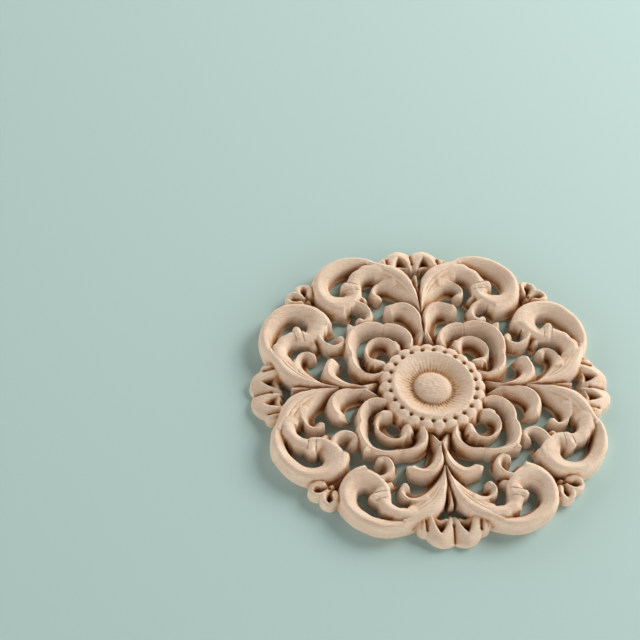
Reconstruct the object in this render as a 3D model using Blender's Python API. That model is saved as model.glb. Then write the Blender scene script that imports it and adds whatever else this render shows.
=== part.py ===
import math

import bmesh
import bpy
import numpy as np
from mathutils import Vector
from mathutils.geometry import delaunay_2d_cdt

# Everything drawn here is in millimetres, and MM turns it into metres.
MM = 0.001
# Height of the ground between the leaves.
FLOOR = 1.6
# The wood is nowhere thinner than this.
THINNEST = 1.0
# A curve gets a new point after turning this far or running this long.
MOST_TURN = math.radians(42)
MOST_STEP = 9.0
# Points closer than this are one point.
SAME_POINT = 0.02
# Leaf lines this close to a line where two copies meet are moved onto it.
SNAP = 0.35
# A leaf whose mean half width is less than this gets a crest line only.
THIN_RIDGE = 0.72
SMOOTH_ANGLE = math.radians(38)

# The carving repeats eight times, every other time mirrored, so one half sector is drawn.
# x runs out along a main axis and y towards the diagonal.
# Each row is one smooth run of the outline, and starts where the row before it ended.
OUTLINE = (
    ((0.0, 0.0), (23.2, 0.0)),
    ((22.9, 0.8),),
    ((23.9, 1.1), (25.6, 0.0)),
    ((58.6, 0.0),),
    ((58.3, 1.1), (57.2, 2.0)),
    ((59.2, 3.8), (61.5, 5.9)),
    ((63.0, 5.3), (63.5, 3.9), (62.1, 2.9)),
    ((61.8, 1.5), (62.6, 0.0)),
    ((73.6, 0.0),),
    ((74.4, 1.4), (75.0, 4.0), (74.4, 6.9), (72.5, 9.6), (70.1, 11.4)),
    ((69.7, 13.0), (68.6, 14.3), (66.9, 15.0)),
    ((68.4, 19.6), (69.3, 25.2), (69.0, 30.0), (66.9, 34.7), (63.7, 39.4), (59.8, 42.8), (55.0, 45.2)),
    ((56.4, 47.7), (55.5, 50.4), (53.7, 51.7), (52.0, 52.0)),
    ((38.9, 38.9),),
    ((38.2, 35.8), (38.1, 33.0)),
    ((36.9, 30.8), (39.4, 29.1), (42.2, 29.6)),
    ((41.5, 26.2), (39.9, 24.4), (37.5, 24.7)),
    ((38.4, 26.7), (36.0, 28.1), (32.9, 26.9)),
    ((32.3, 29.4), (32.1, 32.1)),
    ((26.8, 26.8),),
    ((28.8, 22.3), (28.6, 19.6), (27.1, 18.3), (26.9, 17.0)),
    ((27.8, 15.1), (27.6, 12.2), (25.8, 10.3)),
    ((27.1, 12.2), (27.1, 14.1), (25.8, 15.9)),
    ((26.2, 19.4), (25.4, 22.0), (23.9, 23.9)),
    ((20.1, 20.1),),
    ((21.2, 17.9), (20.6, 16.3), (18.7, 15.0)),
    ((17.4, 15.6), (16.4, 16.4)),
    ((0.0, 0.0),),
)

# The two openings that lie inside a half sector: the crescent and the star round the hook.
CRESCENT = (
    ((50.1, 30.9), (48.3, 33.4), (50.0, 36.2), (53.7, 36.7), (57.9, 34.5), (60.6, 30.2), (61.7, 25.9)),
    ((59.8, 28.4), (56.2, 29.4)),
    ((53.7, 32.2), (51.0, 32.4), (50.1, 30.9)),
)
STAR = (
    ((29.4, 5.1), (32.5, 8.3), (33.7, 13.0), (33.4, 16.7), (34.8, 20.2)),
    ((38.9, 19.2), (41.8, 20.3), (43.5, 21.8)),
    ((44.7, 20.2), (46.2, 19.5), (48.8, 23.7)),
    ((52.4, 23.7),),
    ((55.5, 22.6), (56.7, 19.4), (55.4, 15.4)),
    ((53.7, 19.3), (50.0, 20.4), (46.5, 18.7), (46.2, 15.8), (49.7, 15.0)),
    ((49.9, 12.0), (48.3, 9.6), (45.5, 7.5)),
    ((44.6, 11.2), (42.9, 14.6)),
    ((38.9, 15.6), (35.4, 14.2)),
    ((37.3, 10.8), (35.7, 7.2), (29.4, 5.1)),
)

# Each leaf has stations of x, y, half width and crest height along its middle line.
# ridge is where the crest runs across the leaf, from -1 at its right edge to 1 at its left.
# drop is how far its left and right edges lie below the crest.
# slope is how steeply the wood falls away outside those edges.
LEAVES = {
    "leaf": {
        "line": (
            (39.6, 0.6, 0.5, 7.0), (43.8, 1.4, 1.0, 7.7), (47.8, 2.7, 1.9, 8.2), (52.2, 4.7, 3.2, 8.4),
            (56.1, 7.6, 4.3, 8.4), (58.9, 10.8, 4.4, 8.4), (61.7, 15.2, 3.6, 8.0), (64.6, 19.4, 2.3, 7.4),
        ),
        "ridge": -0.55,
        "drop": (2.9, 0.9),
        "slope": (2.4, 8.0),
    },
    "scroll": {
        "line": (
            (64.2, 16.6, 1.6, 7.0), (66.0, 20.6, 2.1, 7.2), (66.6, 26.3, 2.4, 7.2), (65.0, 32.4, 2.6, 7.2),
            (60.9, 38.0, 2.7, 7.2), (57.0, 40.6, 2.8, 7.2), (52.4, 41.2, 2.9, 7.3), (48.4, 40.2, 3.1, 7.5),
            (45.7, 38.2, 3.5, 7.7), (44.2, 35.2, 3.8, 7.8), (44.7, 31.8, 3.6, 7.7), (46.8, 28.7, 2.9, 7.4),
            (50.0, 26.7, 2.5, 7.1),
        ),
        "ridge": -0.25,
        "drop": (1.5, 1.5),
        "slope": (4.0, 8.0),
    },
    "tail": {
        "line": (
            (46.0, 41.9, 0.9, 7.0), (42.6, 38.9, 1.1, 7.6), (40.7, 35.4, 1.2, 7.9), (39.9, 32.4, 0.9, 8.2),
        ),
        "ridge": 0.0,
        "drop": (1.0, 0.5),
        "slope": (1.3, 8.0),
    },
    "branch": {
        "line": (
            (62.2, 16.5, 3.0, 7.9), (62.0, 19.6, 2.5, 7.6), (60.8, 22.4, 2.3, 7.3), (58.7, 25.0, 2.4, 7.1),
            (56.0, 26.6, 2.6, 7.0), (52.7, 27.4, 3.0, 7.0), (50.2, 26.6, 2.4, 7.0),
        ),
        "ridge": -0.2,
        "drop": (1.6, 1.0),
        "slope": (3.5, 4.5),
    },
    "lobe": {
        "line": (
            (27.6, 0.6, 0.5, 6.6), (32.0, 1.5, 1.0, 7.2), (36.2, 2.2, 1.7, 7.7), (39.4, 3.9, 2.1, 7.9),
            (41.5, 6.4, 2.2, 7.8), (41.9, 9.0, 2.0, 7.7), (41.2, 11.6, 1.9, 7.6), (40.4, 13.4, 1.6, 7.6),
        ),
        "ridge": -0.45,
        "drop": (2.4, 1.0),
        "slope": (4.0, 6.0),
    },
    "ring": {
        "line": (
            (21.6, 7.9, 1.6, 7.5), (24.3, 7.3, 1.7, 7.6), (27.4, 8.4, 1.8, 7.6), (29.9, 11.4, 1.9, 7.5),
            (30.7, 14.6, 2.0, 7.4), (30.5, 17.2, 1.9, 7.2), (31.3, 20.3, 2.1, 7.4), (31.2, 23.8, 2.1, 7.5),
            (30.1, 27.0, 2.1, 7.4), (28.4, 29.4, 2.1, 7.3),
        ),
        "ridge": -0.55,
        "drop": (3.2, 0.6),
        "slope": (7.0, 8.0),
    },
    "eye ball": {
        "line": ((19.6, 12.6, 1.4, 6.6), (22.4, 13.0, 1.7, 6.9)),
        "ridge": 0.0,
        "drop": (0.9, 0.9),
        "slope": (3.5, 3.5),
    },
    "eye arm": {
        "line": (
            (23.0, 13.8, 0.7, 6.6), (25.2, 16.0, 0.5, 6.3), (25.8, 19.2, 0.5, 6.2), (25.0, 21.8, 0.5, 6.3),
            (23.6, 23.6, 0.5, 6.4),
        ),
        "ridge": 0.0,
        "drop": (0.4, 0.3),
        "slope": (3.6, 8.0),
    },
    "curl": {
        "line": (
            (45.0, 29.0, 0.8, 7.1), (44.4, 26.2, 0.6, 7.0), (42.5, 23.2, 0.6, 6.8), (39.0, 21.6, 0.6, 6.6),
            (35.9, 22.6, 0.7, 6.5), (34.5, 24.7, 0.8, 6.4), (35.4, 26.2, 1.0, 6.2),
        ),
        "ridge": 0.0,
        "drop": (0.3, 0.3),
        "slope": (6.0, 2.8),
    },
    "hook": {
        "line": (
            (55.4, 9.8, 2.0, 7.4), (55.4, 13.0, 1.3, 6.4), (54.4, 16.4, 0.8, 5.8), (52.3, 18.5, 0.7, 5.6),
            (49.8, 18.8, 0.8, 5.6), (48.0, 17.3, 1.2, 5.8),
        ),
        "ridge": 0.0,
        "drop": (0.8, 0.3),
        "slope": (2.4, 8.0),
    },
    "petal rim": {
        "line": (
            (62.9, 10.3, 0.9, 6.8), (66.4, 10.5, 1.1, 7.2), (69.6, 9.4, 1.3, 6.7), (71.9, 7.4, 1.3, 5.4),
            (72.8, 5.0, 1.2, 4.3), (72.6, 2.8, 1.3, 5.2), (71.3, 1.3, 1.2, 6.2), (68.0, 1.1, 1.0, 6.4),
            (65.2, 1.1, 0.7, 5.6),
        ),
        "ridge": 0.0,
        "drop": (0.5, 0.7),
        "slope": (2.0, 3.5),
    },
    "petal flute": {
        "line": ((62.5, 3.2, 0.6, 3.6), (64.6, 2.7, 0.7, 5.2), (67.0, 2.2, 0.7, 6.1)),
        "ridge": 0.0,
        "drop": (0.6, 0.6),
        "slope": (3.5, 3.5),
    },
    "ear": {
        "line": ((64.6, 14.0, 0.7, 6.4), (67.0, 13.6, 0.7, 5.8), (69.0, 12.6, 0.6, 5.0)),
        "ridge": 0.0,
        "drop": (0.5, 0.5),
        "slope": (3.0, 3.0),
    },
    "bud rim": {
        "line": (
            (49.4, 49.4, 0.8, 4.8), (51.6, 50.9, 0.9, 5.2), (54.0, 50.4, 0.9, 4.8), (55.2, 48.4, 0.9, 4.2),
            (54.4, 46.4, 0.9, 5.2), (52.4, 45.3, 0.9, 5.8),
        ),
        "ridge": 0.0,
        "drop": (0.4, 0.5),
        "slope": (2.8, 3.5),
    },
    "bud spine": {
        "line": ((46.6, 46.6, 0.5, 4.4), (50.6, 50.6, 0.6, 5.0)),
        "ridge": 0.0,
        "drop": (0.3, 0.3),
        "slope": (3.5, 3.5),
    },
    "rib": {
        "line": ((47.0, 0.0, 0.4, 5.6), (52.5, 0.0, 0.6, 6.7), (58.4, 0.0, 0.8, 6.6)),
        "ridge": 0.0,
        "drop": (0.4, 0.4),
        "slope": (4.5, 4.5),
    },
    "collar": {
        "line": ((52.4, 25.2, 0.6, 7.2), (53.6, 30.4, 0.8, 7.5)),
        "ridge": 0.0,
        "drop": (0.6, 0.6),
        "slope": (3.0, 3.0),
    },
    "link": {
        "line": ((32.6, 23.4, 1.8, 4.4), (34.6, 23.2, 1.2, 4.4)),
        "ridge": 0.0,
        "drop": (0.4, 0.4),
        "slope": (3.0, 3.0),
    },
}
# Holes carved into the leaves, as place, radius and height of the bottom.
PITS = (
    ((67.1, 5.6), 1.6, 1.5),
    ((52.7, 48.0), 1.6, 1.1),
)
PIT_SLOPE = 5.0

# The round boss in the middle, as radius and height from its centre out to its scalloped rim.
BOSS_PROFILE = (
    (0.0, 8.2), (4.6, 7.9), (7.0, 6.9), (8.1, 5.2), (10.8, 6.0), (15.6, 8.3), (16.6, 8.5),
    (17.3, 7.8), (19.2, 7.9), (21.2, 7.1), (21.9, 6.2),
)
BOSS_SCALLOPS = 24
SCALLOP_DEPTH = 0.8
PIT_RADIUS = 17.7
PIT_SIZE = 1.1
PIT_DEPTH = 1.8
BOSS_SIDE_SLOPE = 6.0
# Rings of the boss from this radius outwards follow its scallops and need more points.
SCALLOPED_FROM = 17.0


def smooth_run(rows, most_turn=MOST_TURN, most_step=MOST_STEP):
    # A smooth curve through the rows, with more points where it turns sharply.
    rows = [np.array(row, float) for row in rows]
    guides = [2 * rows[0] - rows[1]] + rows + [2 * rows[-1] - rows[-2]]
    points = [rows[0]]
    for before, start, end, after in zip(guides, guides[1:], guides[2:], guides[3:]):
        chord = math.dist(start[:2], end[:2])
        leave = (end - before) * chord / (math.dist(before[:2], start[:2]) + chord)
        arrive = (after - start) * chord / (math.dist(end[:2], after[:2]) + chord)
        turn = Vector(leave[:2]).angle(Vector(arrive[:2]))
        count = max(1, round(turn / most_turn), math.ceil(chord / most_step) if len(rows) > 2 else 1)
        for index in range(1, count + 1):
            t = index / count
            points.append(
                start * (2 * t**3 - 3 * t**2 + 1)
                + leave * (t**3 - 2 * t**2 + t)
                + end * (3 * t**2 - 2 * t**3)
                + arrive * (t**3 - t**2)
            )
    return points


def closed_loop(runs):
    # The runs joined end to end, without the last point, which is the first again.
    points = [np.array(runs[0][0], float)]
    for run in runs:
        start = [tuple(points[-1])] if run is not runs[0] else []
        points.extend(smooth_run(start + list(run))[1:])
    return points[:-1]


def leaf_height(leaf, places):
    # Height of one leaf above each place, from the nearest point of its middle line.
    line = np.array(smooth_run(leaf["line"], math.radians(6), 1.0))
    start, step = line[:-1], np.diff(line, axis=0)
    offset = places[:, None, :] - start[None, :, :2]
    along = (offset * step[None, :, :2]).sum(2) / (step[:, :2] ** 2).sum(1)
    along = np.clip(along, 0, 1)
    gap = offset - along[..., None] * step[None, :, :2]
    distance = np.hypot(gap[..., 0], gap[..., 1])
    nearest = distance.argmin(1)
    rows = np.arange(len(places))
    distance = distance[rows, nearest]
    station = start[nearest] + along[rows, nearest][:, None] * step[nearest]
    lateral = step[nearest, 0] * offset[rows, nearest, 1] - step[nearest, 1] * offset[rows, nearest, 0]
    half_width = station[:, 2]
    across = np.where(lateral < 0, -1, 1) * distance / half_width
    right = (across < leaf["ridge"]).astype(int)
    drop = np.array(leaf["drop"])[right]
    slope = np.array(leaf["slope"])[right]
    flank = np.abs(across - leaf["ridge"]) / np.where(right, 1 + leaf["ridge"], 1 - leaf["ridge"])
    beyond = np.maximum(distance - half_width, 0)
    return station[:, 3] - drop * np.minimum(flank, 1) ** 2 - slope * beyond


def rim_radius(angle):
    # Outer radius of the boss, drawn in between the scallops.
    return BOSS_PROFILE[-1][0] - SCALLOP_DEPTH * (0.5 - 0.5 * math.cos(BOSS_SCALLOPS * angle)) ** 2


def boss_height(places):
    radius = np.hypot(places[:, 0], places[:, 1])
    angle = np.arctan2(places[:, 1], places[:, 0])
    valley = (0.5 - 0.5 * np.cos(BOSS_SCALLOPS * angle)) ** 2
    rim = BOSS_PROFILE[-1][0] - SCALLOP_DEPTH * valley
    profile = np.array(BOSS_PROFILE)
    height = np.interp(radius, profile[:, 0], profile[:, 1])
    height -= np.interp(radius, (PIT_RADIUS + 0.8, rim.mean()), (0, 0.5)) * valley
    pitch = 2 * math.pi / BOSS_SCALLOPS
    from_pit = (angle / pitch) % 1 - 0.5
    pit_gap = np.hypot(radius - PIT_RADIUS, from_pit * pitch * PIT_RADIUS)
    height -= PIT_DEPTH * np.maximum(0, 1 - pit_gap / PIT_SIZE)
    return height - BOSS_SIDE_SLOPE * np.maximum(radius - rim, 0)


def top_height(places):
    # The highest of the floor, the boss and every leaf at each place, less the pits.
    height = np.maximum(boss_height(places), FLOOR)
    for leaf in LEAVES.values():
        height = np.maximum(height, leaf_height(leaf, places))
    for middle, radius, bottom in PITS:
        away = np.hypot(places[:, 0] - middle[0], places[:, 1] - middle[1])
        height = np.minimum(height, bottom + PIT_SLOPE * np.maximum(away - radius / 2, 0))
    return np.maximum(height, THINNEST)


def leaf_lines(leaf):
    # The crest of a leaf and, unless it is a thin ridge, both its edges, as open lines on the plan.
    line = np.array(smooth_run(leaf["line"]))
    ahead = np.gradient(line[:, :2], axis=0)
    ahead /= np.hypot(ahead[:, 0], ahead[:, 1])[:, None]
    left = np.stack((-ahead[:, 1], ahead[:, 0]), 1)
    thin = line[:, 2].mean() < THIN_RIDGE
    sides = (0,) if thin else (-1, leaf["ridge"], 1)
    return [line[:, :2] + side * line[:, 2:3] * left for side in sides]


def boss_lines():
    # Rings on the boss across one half sector, with more points where it is scalloped.
    lines = []
    for radius, _ in BOSS_PROFILE[1:]:
        count = 12 if radius > SCALLOPED_FROM else 6
        angles = [math.pi / 4 * index / count for index in range(count + 1)]
        outer = radius == BOSS_PROFILE[-1][0]
        radii = [rim_radius(angle) if outer else radius for angle in angles]
        lines.append([(r * math.cos(a), r * math.sin(a)) for r, a in zip(radii, angles)])
    return lines


def pit_lines():
    # A five-sided line round the bottom of each pit and one round its mouth.
    lines = []
    for middle, radius, _ in PITS:
        for size in (radius / 2, radius):
            angles = [math.pi * 2 / 5 * index for index in range(6)]
            lines.append([(middle[0] + size * math.cos(a), middle[1] + size * math.sin(a)) for a in angles])
    return lines


def on_meeting_line(place):
    # A place that nearly touches the axis or the diagonal is moved onto it.
    x, y = place
    if abs(y) < SNAP:
        return x, 0.0
    if abs(x - y) < SNAP:
        return (x + y) / 2, (x + y) / 2
    return x, y


def plan_of_half_sector():
    # Triangles of the carved face in plan, with every line of the carving kept as an edge.
    places, edges, faces = [], [], []
    for loop in (closed_loop(OUTLINE), closed_loop(CRESCENT)[::-1], closed_loop(STAR)[::-1]):
        faces.append(list(range(len(places), len(places) + len(loop))))
        places.extend(loop)
    lines = boss_lines() + pit_lines()
    for leaf in LEAVES.values():
        lines.extend(leaf_lines(leaf))
    for line in lines:
        edges.extend((len(places) + index, len(places) + index + 1) for index in range(len(line) - 1))
        places.extend(on_meeting_line(place) for place in line)
    corners = [Vector((float(place[0]), float(place[1]))) for place in places]
    points, _, triangles, _, _, owners = delaunay_2d_cdt(corners, edges, faces, 0, SAME_POINT, True)
    wood = [face for face, owner in zip(triangles, owners) if list(owner) == [0]]
    return np.array([tuple(point) for point in points]), wood


def wall_edges(points, triangles):
    # Edges on the outline or round an opening, leaving out the two lines where the copies meet.
    count = {}
    for triangle in triangles:
        for start, end in zip(triangle, triangle[1:] + triangle[:1]):
            count[start, end] = True
    walls = []
    for start, end in count:
        if (end, start) in count:
            continue
        pair = points[[start, end]]
        on_axis = np.abs(pair[:, 1]).max() < SAME_POINT
        on_diagonal = np.abs(pair[:, 0] - pair[:, 1]).max() < SAME_POINT
        if not on_axis and not on_diagonal:
            walls.append((start, end))
    return walls


def build_rosette():
    points, triangles = plan_of_half_sector()
    heights = top_height(points)
    walls = wall_edges(points, triangles)
    used = sorted({corner for triangle in triangles for corner in triangle})
    shape = bmesh.new()
    for sector in range(4):
        cosine, sine = ((1, 0), (0, 1), (-1, 0), (0, -1))[sector]
        for mirror in (1, -1):
            top, foot = {}, {}
            for corner in used:
                x, y = points[corner][0], points[corner][1] * mirror
                place = (x * cosine - y * sine, x * sine + y * cosine)
                top[corner] = shape.verts.new((place[0] * MM, place[1] * MM, heights[corner] * MM))
            for corner in {corner for edge in walls for corner in edge}:
                place = top[corner].co
                foot[corner] = shape.verts.new((place.x, place.y, 0))
            for triangle in triangles:
                shape.faces.new([top[corner] for corner in triangle[::mirror]])
            for start, end in walls:
                around = (top[end], top[start], foot[start], foot[end])
                shape.faces.new(around[::mirror])
    bmesh.ops.remove_doubles(shape, verts=shape.verts, dist=SAME_POINT * MM / 2)
    rim = [edge for edge in shape.edges if edge.is_boundary]
    bmesh.ops.triangle_fill(shape, use_beauty=True, edges=rim)
    bmesh.ops.recalc_face_normals(shape, faces=shape.faces)
    for edge in shape.edges:
        edge.smooth = edge.calc_face_angle(math.pi) < SMOOTH_ANGLE
    for face in shape.faces:
        face.smooth = True
    mesh = bpy.data.meshes.new("rosette")
    shape.to_mesh(mesh)
    shape.free()
    rosette = bpy.data.objects.new("rosette", mesh)
    bpy.context.collection.objects.link(rosette)
    return rosette


def wood_material():
    material = bpy.data.materials.new("pale_wood")
    material.use_nodes = True
    shader = material.node_tree.nodes["Principled BSDF"]
    shader.inputs["Base Color"].default_value = (0.72, 0.55, 0.40, 1)
    shader.inputs["Roughness"].default_value = 0.7
    return material


def main():
    for old in list(bpy.data.objects):
        bpy.data.objects.remove(old)
    rosette = build_rosette()
    rosette.data.materials.append(wood_material())


main()
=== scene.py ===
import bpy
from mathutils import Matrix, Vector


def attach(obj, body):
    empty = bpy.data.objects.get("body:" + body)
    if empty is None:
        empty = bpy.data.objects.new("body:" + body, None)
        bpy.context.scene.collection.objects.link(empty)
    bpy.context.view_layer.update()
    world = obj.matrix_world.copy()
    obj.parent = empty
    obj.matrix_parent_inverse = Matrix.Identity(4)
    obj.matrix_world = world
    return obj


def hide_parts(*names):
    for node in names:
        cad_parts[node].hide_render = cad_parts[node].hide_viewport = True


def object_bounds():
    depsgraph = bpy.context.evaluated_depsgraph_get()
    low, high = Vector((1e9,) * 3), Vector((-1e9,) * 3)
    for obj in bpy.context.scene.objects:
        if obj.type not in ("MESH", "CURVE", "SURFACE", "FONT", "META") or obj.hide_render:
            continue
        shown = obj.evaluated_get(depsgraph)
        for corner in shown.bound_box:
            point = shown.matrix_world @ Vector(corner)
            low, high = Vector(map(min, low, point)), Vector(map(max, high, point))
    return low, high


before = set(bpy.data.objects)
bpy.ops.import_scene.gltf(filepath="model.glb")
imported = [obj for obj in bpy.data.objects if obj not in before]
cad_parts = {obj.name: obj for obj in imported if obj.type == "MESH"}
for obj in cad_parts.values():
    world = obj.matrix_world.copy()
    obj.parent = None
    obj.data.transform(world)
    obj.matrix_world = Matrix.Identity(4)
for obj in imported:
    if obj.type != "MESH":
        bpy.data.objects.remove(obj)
cadBox = [list(corner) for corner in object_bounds()]

import math

import bmesh
import bpy
import numpy as np
from mathutils import Matrix, Vector, kdtree, noise
from mathutils.geometry import delaunay_2d_cdt

print("frame loaded, CAD box", cadBox)

# The carving repeats eight times, every other time mirrored, so one half sector is drawn.
# Millimetres: x runs out along a main axis and y towards the diagonal.
carving = {
    "floor": 1.6,  # height of the ground between the leaves
    "thinnest": 1.0,
    "wallRows": 4,
    "softEdge": 0.28,  # width of the worn top edge
    "softDrop": 0.12,
    "shoulder": 0.35,  # how gradually a leaf turns down at its side
    "veinWidth": 0.35,  # half the width of a groove
    "veinFrom": 0.6,  # half width of leaf below which there are no veins
    "veinWidening": 2.0,  # how much wider it has to be for their full depth
    "veinEnds": 5,  # steps of the middle line over which they fade at both ends
    "pitSlope": 5.0,
    "quarterTurns": 4,
    "creaseAngle": 42,  # degrees, sharper edges stay crisp
    "samePoint": 0.000002,  # metres, points nearer than this become one
    "boxMargin": 0.00002,  # metres left free inside the box of the solid
}

# Where the points of the top lie, in the same millimetres.
pointPlan = {
    "openWood": 0.52,  # spacing on open wood
    "lines": 0.55,  # spacing along the outline, crests and veins
    "crests": 0.8,  # spacing along the middle lines that heights are worked out from
    "lineToEdge": 0.2,  # nearest that a line comes to the outline
    "softToOthers": 0.22,  # nearest that the worn edge comes to points laid before it
    "openToOthers": 0.3,  # and the points on open wood
    "openToSoftEdge": 0.12,
    "softShare": 0.85,  # points nearer the wall than this share of the worn edge are left out
    "steepFrom": 5.5,  # sides steeper than this get lines of points down to their foot
    "footReach": (0.5, 1.05),  # how far out those lines lie
    "besideVein": (-0.3, 0, 0.3),
    "endSteps": 8,  # points across a square end
    "cutSteps": 12,
    "pitSteps": 13,
    "pitRings": (0.5, 1.1),  # share of the pit's radius
    "ontoSeam": 0.15,  # points this near the axis or the diagonal are moved onto it
    "seamWidth": 0.02,
    "joinDistance": 0.005,
    "bossMargin": 0.3,
    "firstRing": 0.6,
    "bossRings": 0.46,  # from one ring of points to the next
    "bossStep": 0.5,  # along the rings of the dome
    "bossRays": 24,  # steps along each ring outside the dome
    "farthest": 76,
    "highestRow": 56,
}

# Each row is one smooth run of the outline, and starts where the row before it ended.
outerOutline = (
    ((0.0, 0.0), (23.2, 0.0)),
    ((22.9, 0.8),),
    ((23.9, 1.1), (25.6, 0.0)),
    ((58.6, 0.0),),
    ((58.3, 1.1), (57.2, 2.0)),
    ((59.2, 3.8), (61.5, 5.9)),
    ((63.0, 5.3), (63.5, 3.9), (62.1, 2.9)),
    ((61.8, 1.5), (62.6, 0.0)),
    ((73.6, 0.0),),
    ((74.4, 1.4), (75.0, 4.0), (74.4, 6.9), (72.5, 9.6), (70.1, 11.4)),
    ((69.7, 13.0), (68.6, 14.3), (66.9, 15.0)),
    ((68.4, 19.6), (69.3, 25.2), (69.0, 30.0), (66.9, 34.7), (63.7, 39.4), (59.8, 42.8), (55.0, 45.2)),
    ((56.4, 47.7), (55.5, 50.4), (53.7, 51.7), (52.0, 52.0)),
    ((38.9, 38.9),),
    ((38.2, 35.8), (38.1, 33.0)),
    ((36.9, 30.8), (39.4, 29.1), (42.2, 29.6)),
    ((41.5, 26.2), (39.9, 24.4), (37.5, 24.7)),
    ((38.4, 26.7), (36.0, 28.1), (32.9, 26.9)),
    ((32.3, 29.4), (32.1, 32.1)),
    ((26.8, 26.8),),
    ((28.8, 22.3), (28.6, 19.6), (27.1, 18.3), (26.9, 17.0)),
    ((27.8, 15.1), (27.6, 12.2), (25.8, 10.3)),
    ((27.1, 12.2), (27.1, 14.1), (25.8, 15.9)),
    ((26.2, 19.4), (25.4, 22.0), (23.9, 23.9)),
    ((20.1, 20.1),),
    ((21.2, 17.9), (20.6, 16.3), (18.7, 15.0)),
    ((17.4, 15.6), (16.4, 16.4)),
    ((0.0, 0.0),),
)
crescentOpening = (
    ((50.1, 30.9), (48.3, 33.4), (50.0, 36.2), (53.7, 36.7), (57.9, 34.5), (60.6, 30.2), (61.7, 25.9)),
    ((59.8, 28.4), (56.2, 29.4)),
    ((53.7, 32.2), (51.0, 32.4), (50.1, 30.9)),
)
starOpening = (
    ((29.4, 5.1), (32.5, 8.3), (33.7, 13.0), (33.4, 16.7), (34.8, 20.2)),
    ((38.9, 19.2), (41.8, 20.3), (43.5, 21.8)),
    ((44.7, 20.2), (46.2, 19.5), (48.8, 23.7)),
    ((52.4, 23.7),),
    ((55.5, 22.6), (56.7, 19.4), (55.4, 15.4)),
    ((53.7, 19.3), (50.0, 20.4), (46.5, 18.7), (46.2, 15.8), (49.7, 15.0)),
    ((49.9, 12.0), (48.3, 9.6), (45.5, 7.5)),
    ((44.6, 11.2), (42.9, 14.6)),
    ((38.9, 15.6), (35.4, 14.2)),
    ((37.3, 10.8), (35.7, 7.2), (29.4, 5.1)),
)

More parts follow.
